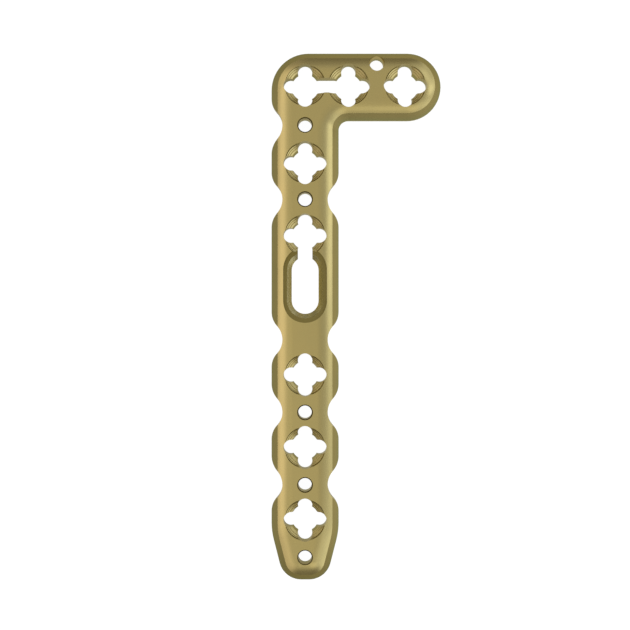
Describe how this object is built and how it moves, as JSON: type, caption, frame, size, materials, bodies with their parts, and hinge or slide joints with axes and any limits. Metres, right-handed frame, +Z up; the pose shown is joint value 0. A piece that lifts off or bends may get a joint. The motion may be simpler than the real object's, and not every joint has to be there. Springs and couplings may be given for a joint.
{
  "type": "orthopedic bone plate",
  "caption": "Thin L-shaped metal plate with a rounded head, scalloped shaft, tapered tip, four-lobed locking holes, wire holes and a recessed slot, for fixing a small bone.",
  "frame": {"origin": "on the axis of the corner locking hole, at the underside", "axes": "+X along the head towards its rounded end, +Y away from the shaft's tip, +Z up out of the crowned top"},
  "size_m": [0.0188, 0.0585, 0.0018],
  "materials": {
    "anodised_titanium": "satin"
  },
  "bodies": {
    "root": {"bone_plate": "anodised_titanium"}
  },
  "joints": []
}
